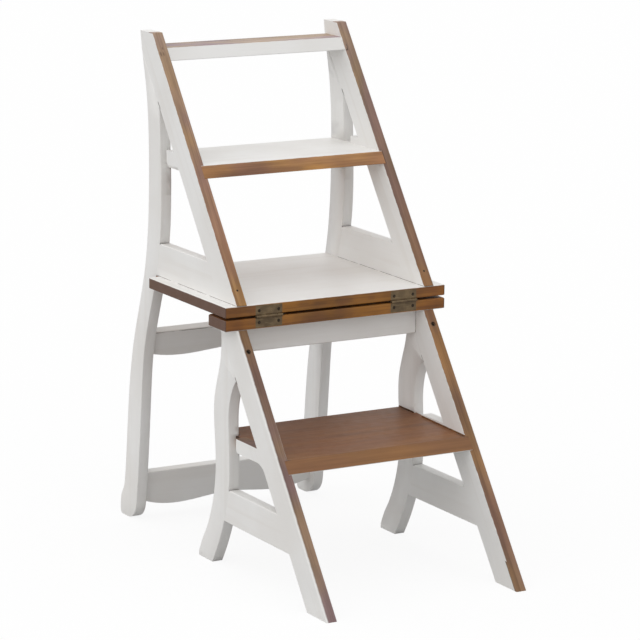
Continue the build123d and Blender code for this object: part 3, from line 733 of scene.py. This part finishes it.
def notch_crease(y, z):
    """Dark crease at the tip of the notch between a stringer and its leg or post."""
    def crease(surface, wobble):
        across = (surface.y - y) * ALONG[1] - (surface.z - z) * ALONG[0]
        along = (surface.y - y) * ALONG[0] + (surface.z - z) * ALONG[1]
        return abs(across + wobble).below(*CREASE_HALF) & abs(along).below(*CREASE_LENGTH)
    return crease


# Pieces


def give(material, *names):
    """Puts a finish on CAD pieces."""
    for name in names:
        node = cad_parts[name]
        node.data.materials.clear()
        node.data.materials.append(material)


def both(name):
    return [f"{name}_{side}" for side in SIDES]


def new_piece(name, mesh, body, slot, *nodes):
    """An object that rides on a body and stands for CAD pieces."""
    piece = bpy.data.objects.new(name, mesh)
    bpy.context.scene.collection.objects.link(piece)
    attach(piece, body)
    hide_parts(*nodes)


class LADDERCHAIR_OT_stringers(bpy.types.Operator):
    """Stains the stringers' front faces and paints the rest white"""
    bl_idname = "ladder_chair.stringers"
    bl_label = "Finish stringers"

    def execute(self, context):
        # Painted shade in the leg screws' holes, laid on like dark knots
        holes = [(place, SCREW_HOLE_SHADE, SCREW_HOLE_SHADE_STRENGTH) for place in LEG_SCREW_PLACES]
        # The stringers' tones carry painted sheen on their fronts
        for side in SIDES:
            give(wood(f"{side} lower stringer finish", "slanted", lower_stringer_stain,
                      cracks=[notch_crease(*LOWER_NOTCH)], knots_and_shades=holes, tone=LOWER_TONE_AND_SHEEN[side],
                      span=(0, UNDER_BOARD), darker=lower_stringer_tread), f"base_stringer_{side}")
            give(wood(f"{side} upper stringer finish", "slanted", upper_stringer_stain, [board_seam],
                      [notch_crease(*UPPER_NOTCH)], UPPER_KNOTS[side], tone=UPPER_TONE_AND_SHEEN[side],
                      span=(OVER_BOARD, LADDER_TOP)), f"upper_stringer_{side}")
        return {"FINISHED"}


def eased_rim(shape, level):
    """Edges round a frame piece's two side faces, apart from those of its joints and its top."""
    def outline_key(vertex):
        return round(vertex.co.y, OUTLINE_DIGITS), round(vertex.co.z, OUTLINE_DIGITS)

    def on_side(edge, side):
        return all(abs(abs(vertex.co.x) - side) < SIDE_TOLERANCE for vertex in edge.verts)

    def at_joint(edge):
        return all(abs(behind_front(vertex.co, level) - STRINGER_WIDTH) < JOINT_TOLERANCE
                   for vertex in edge.verts)

    top = max(vertex.co.z for vertex in shape.verts)
    sharp = [edge for edge in shape.edges
             if len(edge.link_faces) == 2 and edge.calc_face_angle() > RIM_ANGLE
             and not at_joint(edge)
             and min(vertex.co.z for vertex in edge.verts) < top - TOP_TOLERANCE]
    outer = [edge for edge in sharp if on_side(edge, OUTER)]
    outline = {outline_key(vertex) for edge in outer for vertex in edge.verts}
    inner = [edge for edge in sharp
             if on_side(edge, INNER) and all(outline_key(vertex) in outline for vertex in edge.verts)]
    return outer + inner


def ease(name, node, body, level, radius, material):
    """A copy of a leg or post with its sharp edges rounded, in place of the CAD one."""
    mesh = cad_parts[node].data.copy()
    mesh.name = name
    shape = bmesh.new()
    shape.from_mesh(mesh)
    bmesh.ops.remove_doubles(shape, verts=shape.verts, dist=MERGE_REACH)
    bmesh.ops.dissolve_limit(shape, angle_limit=FLAT_ANGLE, verts=shape.verts, edges=shape.edges)
    bmesh.ops.bevel(shape, geom=eased_rim(shape, level), offset=radius, offset_type="OFFSET", segments=2,
                    profile=0.5, affect="EDGES", clamp_overlap=True)
    bmesh.ops.triangulate(shape, faces=shape.faces)
    bmesh.ops.recalc_face_normals(shape, faces=shape.faces)
    shape.to_mesh(mesh)
    shape.free()
    mesh.materials.clear()
    mesh.materials.append(material)
    mesh.shade_smooth()
    mesh.set_sharp_from_angle(angle=FRAME_SHARP_ANGLE)
    new_piece(name, mesh, body, "white_painted_wood", node)


class LADDERCHAIR_OT_legs(bpy.types.Operator):
    """Rounds the edges of the legs and posts and paints them white"""
    bl_idname = "ladder_chair.legs"
    bl_label = "Finish legs and posts"

    def execute(self, context):
        radius = context.scene.ladder_chair_wood.edge_radius
        leg = wood("leg finish", "upright", step_band, cracks=[notch_crease(*LOWER_NOTCH)],
                   tone=STEP_BAND_TONE)
        post = wood("post finish", "upright", cracks=[notch_crease(*UPPER_NOTCH)])
        for side in SIDES:
            ease(f"eased_leg_{side}", f"front_leg_{side}", FRONT_HALF, UNDER_BOARD, radius, leg)
            ease(f"eased_post_{side}", f"post_{side}", REAR_HALF, OVER_BOARD, radius, post)
        return {"FINISHED"}


class LADDERCHAIR_OT_rails(bpy.types.Operator):
    """Paints the rails, the apron, the back slat and the crest rail white"""
    bl_idname = "ladder_chair.rails"
    bl_label = "Finish rails"

    def execute(self, context):
        base_end = rail_end_crack("base_rail_left", "front_leg_left")
        upper_end = rail_end_crack("upper_rail_left", "post_left")
        give(wood("base rail finish", "level", cracks=[base_end]), *both("base_rail"))
        give(wood("upper rail finish", "level", seams=[board_seam], cracks=[upper_end]),
             *both("upper_rail"))
        give(wood("apron finish", "cross", cracks=[inner_end_seam]), "seat_apron")
        give(wood("back finish", "cross", seams=[slat_line]), "back_slat", "crest_rail")
        return {"FINISHED"}


class LADDERCHAIR_OT_boards(bpy.types.Operator):
    """Stains the seat boards and steps, each with its painted side"""
    bl_idname = "ladder_chair.boards"
    bl_label = "Finish boards and steps"

    def execute(self, context):
        for place, stain in (("front", front_board_stain), ("rear", rear_board_stain)):
            give(wood(f"{place} board finish", "cross", stain, ends=True, tone=BOARD_TONE,
                      contrast=BOARD_CONTRAST, patches=BOARD_PATCHES, darker=board_ends),
                 f"{place}_seat_board")
        # The base step's top gets painted shade from the boards above
        give(wood("base step finish", "cross", base_step_stain, [base_step_foot_band], [nose_gap_shade],
                  tone=BASE_STEP_TONE, contrast=BASE_STEP_CONTRAST, darker=base_step_top_shade), "base_step")
        give(wood("middle step finish", "cross", middle_step_stain, cracks=[step_end_seam],
                  tone=MIDDLE_STEP_TONE, darker=middle_step_end, darker_tone=MIDDLE_STEP_SHADE),
             "middle_step")
        give(wood("top step finish", "cross", top_step_stain, tone=TOP_STEP_TONE), "top_step")
        return {"FINISHED"}


def aged_brass():
    """Brass under a dull film, with dark specks and bright scratches."""
    finish = bpy.context.scene.ladder_chair_hinge
    surface = Surface("aged brass")
    film = surface.noise(surface.point, 60.0, 4.0, 0.55)
    specks = surface.noise(surface.point, 700.0, 2.0, 0.6)
    scuffs = surface.stretched(surface.axes, SCRATCHES, 3.0, 0.6)
    colour = film.above(0.5, 0.45).mix(finish.tarnish, finish.brass)
    colour = specks.above(0.66, 0.14).spread(0.0, 0.5).mix(colour, finish.specks)
    colour = scuffs.above(0.62, 0.16).spread(0.0, 0.35).mix(colour, finish.scuffs)
    return surface.set(colour=colour, roughness=film.spread(0.62, 0.42), metallic=0.35,
                       normal=surface.bump(film * 0.4 + scuffs * 0.3 + specks * 0.3, finish.film_depth))


def dark_steel():
    """Steel of the pins, screws and nails, darkened unevenly; made once and shared."""
    made = bpy.data.materials.get("dark steel")
    if made:
        return made
    finish = bpy.context.scene.ladder_chair_hinge
    surface = Surface("dark steel")
    film = surface.noise(surface.point, 700.0, 3.0, 0.6)
    colour = film.ramp((0.3, finish.steel_shadow), (0.7, finish.steel))
    return surface.set(colour=colour, roughness=film.spread(0.55, 0.35), metallic=0.7,
                       normal=surface.bump(film, finish.film_depth))


class LADDERCHAIR_OT_hinges(bpy.types.Operator):
    """Gives the hinge leaves tarnished brass and the pins dark steel"""
    bl_idname = "ladder_chair.hinges"
    bl_label = "Finish hinges"

    def execute(self, context):
        give(aged_brass(), *both("hinge_base_leaf"), *both("hinge_flip_leaf"))
        give(dark_steel(), *both("hinge_pin"))
        return {"FINISHED"}


# Screws and nails


def screw_tree():
    """Geometry Nodes that set one screw or nail on each point, head outward, slots turned at random."""
    tree = bpy.data.node_groups.new("screws on points", "GeometryNodeTree")
    tree.interface.new_socket("Geometry", in_out="INPUT", socket_type="NodeSocketGeometry")
    sockets = {}
    for label, kind in (("Outward", "Vector"), ("Head Radius", "Float"), ("Neck Radius", "Float"),
                        ("Head Depth", "Float"), ("Crown", "Float"), ("Shank Radius", "Float"),
                        ("Shank Length", "Float"), ("Slot Width", "Float"), ("Slot Depth", "Float"),
                        ("Slotted", "Bool"), ("Turn Seed", "Int"), ("Finish", "Material")):
        sockets[label] = tree.interface.new_socket(label, in_out="INPUT", socket_type="NodeSocket" + kind)
    tree.interface.new_socket("Geometry", in_out="OUTPUT", socket_type="NodeSocketGeometry")
    given = tree.nodes.new("NodeGroupInput")
    result = tree.nodes.new("NodeGroupOutput")

    def add(kind, settings=None, **inputs):
        """Adds a node; i0, i1 and so on name its sockets by number, other words by name."""
        made = tree.nodes.new(kind)
        for key, value in (settings or {}).items():
            setattr(made, key, value)
        for key, value in inputs.items():
            place = int(key[1:]) if key[0] == "i" and key[1:].isdigit() else key.replace("_", " ")
            if isinstance(value, bpy.types.NodeSocket):
                tree.links.new(value, made.inputs[place])
            else:
                made.inputs[place].default_value = value
        return made

    def times(value, factor):
        return add("ShaderNodeMath", {"operation": "MULTIPLY"}, i0=value, i1=factor).outputs[0]

    def vector(x, y, z):
        return add("ShaderNodeCombineXYZ", None, i0=x, i1=y, i2=z).outputs[0]

    def moved(mesh, height):
        return add("GeometryNodeTransform", None, Geometry=mesh,
                   Translation=vector(0.0, 0.0, height)).outputs[0]

    def taper(sides, top, bottom, depth):
        """A cone that hangs from the board's face down to its depth."""
        cone = add("GeometryNodeMeshCone", {"fill_type": "NGON"}, Vertices=sides, Radius_Top=top,
                   Radius_Bottom=bottom, Depth=depth).outputs["Mesh"]
        return moved(cone, times(depth, -1.0))

    size = {label: given.outputs[label] for label in sockets}
    head = taper(HEAD_SIDES, size["Head Radius"], size["Neck Radius"], size["Head Depth"])
    crown = add("GeometryNodeMeshUVSphere", None, Segments=HEAD_SIDES, Rings=CROWN_RINGS, Radius=1.0)
    crown_radius = times(size["Head Radius"], CROWN_FIT)
    crown = add("GeometryNodeTransform", None, Geometry=crown.outputs["Mesh"],
                Scale=vector(crown_radius, crown_radius, size["Crown"])).outputs[0]
    shank = taper(SHANK_SIDES, size["Shank Radius"], times(size["Shank Radius"], TIP_SHARE),
                  size["Shank Length"])
    whole = add("GeometryNodeMeshBoolean", {"operation": "UNION", "solver": "EXACT"})
    for mesh in (head, crown, shank):
        tree.links.new(mesh, whole.inputs[1])
    slot = add("GeometryNodeMeshCube", None, Size=vector(
        times(size["Head Radius"], SLOT_REACH), size["Slot Width"], times(size["Slot Depth"], 2.0)))
    cut = add("GeometryNodeMeshBoolean", {"operation": "DIFFERENCE", "solver": "EXACT"},
              i0=whole.outputs[0])
    tree.links.new(moved(slot.outputs["Mesh"], size["Crown"]), cut.inputs[1])
    screw = add("GeometryNodeSwitch", {"input_type": "GEOMETRY"}, Switch=size["Slotted"],
                **{"False": whole.outputs[0], "True": cut.outputs[0]}).outputs[0]
    aim = add("FunctionNodeAlignRotationToVector", {"axis": "Z"}, Vector=size["Outward"]).outputs[0]
    turn = add("FunctionNodeRandomValue", {"data_type": "FLOAT"}, Min=0.0, Max=math.pi,
               Seed=size["Turn Seed"]).outputs["Value"]
    points = add("GeometryNodeMeshToPoints", None, Mesh=given.outputs["Geometry"]).outputs[0]
    driven = add("GeometryNodeInstanceOnPoints", None, Points=points, Instance=screw,
                 Rotation=aim).outputs[0]
    driven = add("GeometryNodeRotateInstances", None, Instances=driven, Rotation=vector(0.0, 0.0, turn),
                 Local_Space=True).outputs[0]
    driven = add("GeometryNodeRealizeInstances", None, Geometry=driven).outputs[0]
    driven = add("GeometryNodeSetMaterial", None, Geometry=driven, Material=size["Finish"]).outputs[0]
    tree.links.new(driven, result.inputs[0])
    return tree, {label: socket.identifier for label, socket in sockets.items()}


def drive_screws(name, body, node, tree, identifiers, places, values):
    """Screws on some places as one plain mesh that stands for a node."""
    points = bpy.data.meshes.new(name + " points")
    points.from_pydata(places, [], [])
    carrier = bpy.data.objects.new(name + " carrier", points)
    bpy.context.scene.collection.objects.link(carrier)
    modifier = carrier.modifiers.new("screws", "NODES")
    modifier.node_group = tree
    for label, value in values.items():
        modifier[identifiers[label]] = value
    depsgraph = bpy.context.evaluated_depsgraph_get()
    mesh = bpy.data.meshes.new_from_object(carrier.evaluated_get(depsgraph))
    bpy.data.objects.remove(carrier)
    if not mesh.polygons:
        raise RuntimeError(f"no screws were made for {node}")
    mesh.name = name
    mesh.shade_smooth()
    mesh.set_sharp_from_angle(angle=SCREW_SHARP_ANGLE)
    new_piece(name, mesh, body, "dark_steel", node)


class LADDERCHAIR_OT_screws(bpy.types.Operator):
    """Drives the hinge screws, the leg screws and the nails"""
    bl_idname = "ladder_chair.screws"
    bl_label = "Drive screws and nails"

    def execute(self, context):
        sizes = context.scene.ladder_chair_screws
        tree, identifiers = screw_tree()
        shared = {"Slot Width": sizes.slot_width, "Slot Depth": sizes.slot_depth, "Finish": dark_steel(),
                  "Turn Seed": sizes.turn_seed}
        hinge = {**shared, **HINGE_SCREW, "Head Radius": sizes.hinge_head, "Outward": (0.0, -1.0, 0.0),
                 "Slotted": True}
        rows = (("hinge_screws_lower", "hinge_screws_base", FRONT_HALF, sizes.turn_seed),
                ("hinge_screws_upper", "hinge_screws_flip", REAR_HALF, sizes.turn_seed + UPPER_SEED_SHIFT))
        for name, node, body, seed in rows:
            low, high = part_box(node)
            level = (low.z + high.z) / 2
            first, last = low.x + sizes.hinge_head, high.x - sizes.hinge_head
            across = (first, first + HINGE_SCREW_SPACING, last - HINGE_SCREW_SPACING, last)
            places = [(x, BOARD_EDGE, level) for x in across]
            drive_screws(name, body, node, tree, identifiers, places, {**hinge, "Turn Seed": seed})
        leg = {**shared, **LEG_SCREW, "Head Radius": sizes.leg_head, "Outward": tuple(OUTWARD),
               "Neck Radius": sizes.leg_head * LEG_SCREW_NECK_SHARE, "Slotted": True}
        places = [tuple(place - OUTWARD * LEG_SCREW_SINK) for place in LEG_SCREW_PLACES]
        drive_screws("leg_screw_heads", FRONT_HALF, "leg_screws", tree, identifiers, places, leg)
        nail = {**shared, **NAIL, "Head Radius": sizes.nail_head, "Outward": tuple(OUTWARD),
                "Neck Radius": sizes.nail_head, "Slotted": False}
        places = [tuple(Vector((side * MIDDLE, BOARD_EDGE + NAIL_RISE * SLOPE, OVER_BOARD + NAIL_RISE))
                        - OUTWARD * NAIL_SINK) for side in (-1, 1)]
        drive_screws("nail_heads", REAR_HALF, "stringer_nails", tree, identifiers, places, nail)
        return {"FINISHED"}


class LADDERCHAIR_OT_dowels(bpy.types.Operator):
    """Gives the hidden dowels plain beech"""
    bl_idname = "ladder_chair.dowels"
    bl_label = "Finish dowels"

    def execute(self, context):
        finish = context.scene.ladder_chair_wood
        surface = Surface("beech dowel")
        flecks = surface.stretched(surface.axes, BEECH_FLECKS, 3.0)
        colour = flecks.ramp((0.35, finish.dowel), (0.65, finish.dowel_pale))
        material = surface.set(colour=colour, roughness=flecks.spread(0.7, 0.5),
                               normal=surface.bump(flecks, DOWEL_RELIEF))
        give(material, "front_board_dowels", "rear_board_dowels")
        return {"FINISHED"}


class LADDERCHAIR_OT_studio(bpy.types.Operator):
    """Sets the pale floor, the soft light and the camera"""
    bl_idname = "ladder_chair.studio"
    bl_label = "Set the studio"

    def execute(self, context):
        scene = context.scene
        light = scene.ladder_chair_studio
        scene.view_settings.view_transform = "Standard"
        self.world(scene, light)
        self.floor(scene, light)
        self.lamp(scene, light)
        self.camera(scene, light)
        return {"FINISHED"}

    def empty(self, owner):
        """The owner's node tree with nothing in it, as a maker of nodes."""
        owner.use_nodes = True
        owner.node_tree.nodes.clear()
        return Signal(owner.node_tree)

    def end(self, maker, kind, shader):
        output = maker.tree.nodes.new(kind)
        maker.tree.links.new(shader.socket, output.inputs["Surface"])

    def seen(self, maker):
        """1 for rays that show the background: from the camera, reflections and glass."""
        rays = [maker.node("ShaderNodeLightPath", output=name)
                for name in ("Is Camera Ray", "Is Glossy Ray", "Is Transmission Ray")]
        return rays[0] | rays[1] | rays[2]

    def world(self, scene, light):
        """Even room light that shows as plain white."""
        scene.world = bpy.data.worlds.new("studio")
        maker = self.empty(scene.world)
        white = maker.node("ShaderNodeBackground", None, {0: (1, 1, 1, 1), 1: 1.0})
        room = maker.node("ShaderNodeBackground", None, {0: (1, 1, 1, 1), 1: light.room})
        mixed = maker.node("ShaderNodeMixShader", None, {0: self.seen(maker), 1: room, 2: white})
        self.end(maker, "ShaderNodeOutputWorld", mixed)

    def floor(self, scene, light):
        """A wide floor, nearly white to the camera, that keeps a share of the shadow."""
        mesh = bpy.data.meshes.new("floor")
        corners = [(x * FLOOR_HALF, y * FLOOR_HALF, 0) for x, y in ((-1, -1), (1, -1), (1, 1), (-1, 1))]
        mesh.from_pydata(corners, [], [(0, 1, 2, 3)])
        floor = bpy.data.objects.new("floor", mesh)
        scene.collection.objects.link(floor)
        material = bpy.data.materials.new("pale floor")
        maker = self.empty(material)
        seen = self.seen(maker)
        lit = maker.node("ShaderNodeBsdfDiffuse", None, {0: seen.mix(light.bounce, light.floor)})
        white = maker.node("ShaderNodeEmission", None, {0: (1, 1, 1, 1), 1: 1.0})
        share = seen * (1.0 - light.floor_shadow)
        self.end(maker, "ShaderNodeOutputMaterial",
                 maker.node("ShaderNodeMixShader", None, {0: share, 1: lit, 2: white}))
        mesh.materials.append(material)

    def lamp(self, scene, light):
        lamp = bpy.data.lights.new("soft lamp", "SUN")
        lamp.energy = light.lamp
        lamp.angle = light.lamp_spread
        lamp_object = bpy.data.objects.new("soft lamp", lamp)
        lamp_object.rotation_euler = Vector(light.lamp_towards).to_track_quat("Z", "Y").to_euler()
        scene.collection.objects.link(lamp_object)

    def camera(self, scene, light):
        level = math.cos(light.pitch)
        forward = Vector((math.sin(light.yaw) * level, math.cos(light.yaw) * level, -math.sin(light.pitch)))
        right = Vector((math.cos(light.yaw), -math.sin(light.yaw), 0))
        up = right.cross(forward)
        rolled_right = right * math.cos(light.roll) + up * math.sin(light.roll)
        rolled_up = up * math.cos(light.roll) - right * math.sin(light.roll)
        turn = Matrix((rolled_right, rolled_up, -forward)).transposed().to_4x4()
        camera = bpy.data.cameras.new("camera")
        camera.sensor_width = CAMERA_FRAME
        camera.lens = light.lens
        camera.clip_end = CAMERA_REACH
        camera_object = bpy.data.objects.new("camera", camera)
        camera_object.matrix_world = Matrix.Translation(light.eye) @ turn
        scene.collection.objects.link(camera_object)
        scene.camera = camera_object


# Add-on

GROUPS = {"ladder_chair_wood": WoodFinish, "ladder_chair_hinge": HingeFinish,
          "ladder_chair_screws": ScrewSizes, "ladder_chair_studio": StudioLight}
OPERATORS = (LADDERCHAIR_OT_stringers, LADDERCHAIR_OT_legs, LADDERCHAIR_OT_rails, LADDERCHAIR_OT_boards,
             LADDERCHAIR_OT_hinges, LADDERCHAIR_OT_screws, LADDERCHAIR_OT_dowels, LADDERCHAIR_OT_studio)


class LADDERCHAIR_PT_finishes(bpy.types.Panel):
    """Lists the chair's finishes and the steps that apply them"""
    bl_idname = "LADDERCHAIR_PT_finishes"
    bl_label = "Ladder Chair"
    bl_space_type = "VIEW_3D"
    bl_region_type = "UI"
    bl_category = "Ladder Chair"

    def draw(self, context):
        for operator in OPERATORS:
            self.layout.operator(operator.bl_idname)
        for name, group in GROUPS.items():
            settings = getattr(context.scene, name)
            box = self.layout.box()
            for setting in group.__annotations__:
                box.prop(settings, setting)


def register():
    for name, group in GROUPS.items():
        bpy.utils.register_class(group)
        setattr(bpy.types.Scene, name, PointerProperty(type=group))
    for cls in (*OPERATORS, LADDERCHAIR_PT_finishes):
        bpy.utils.register_class(cls)


def unregister():
    for cls in (LADDERCHAIR_PT_finishes, *reversed(OPERATORS)):
        bpy.utils.unregister_class(cls)
    for name, group in reversed(GROUPS.items()):
        delattr(bpy.types.Scene, name)
        bpy.utils.unregister_class(group)


def main():
    register()
    bpy.ops.ladder_chair.stringers()
    bpy.ops.ladder_chair.legs()
    bpy.ops.ladder_chair.rails()
    bpy.ops.ladder_chair.boards()
    bpy.ops.ladder_chair.hinges()
    bpy.ops.ladder_chair.screws()
    bpy.ops.ladder_chair.dowels()
    bpy.ops.ladder_chair.studio()
    bpy.context.view_layer.update()


if __name__ == "__main__":
    main()
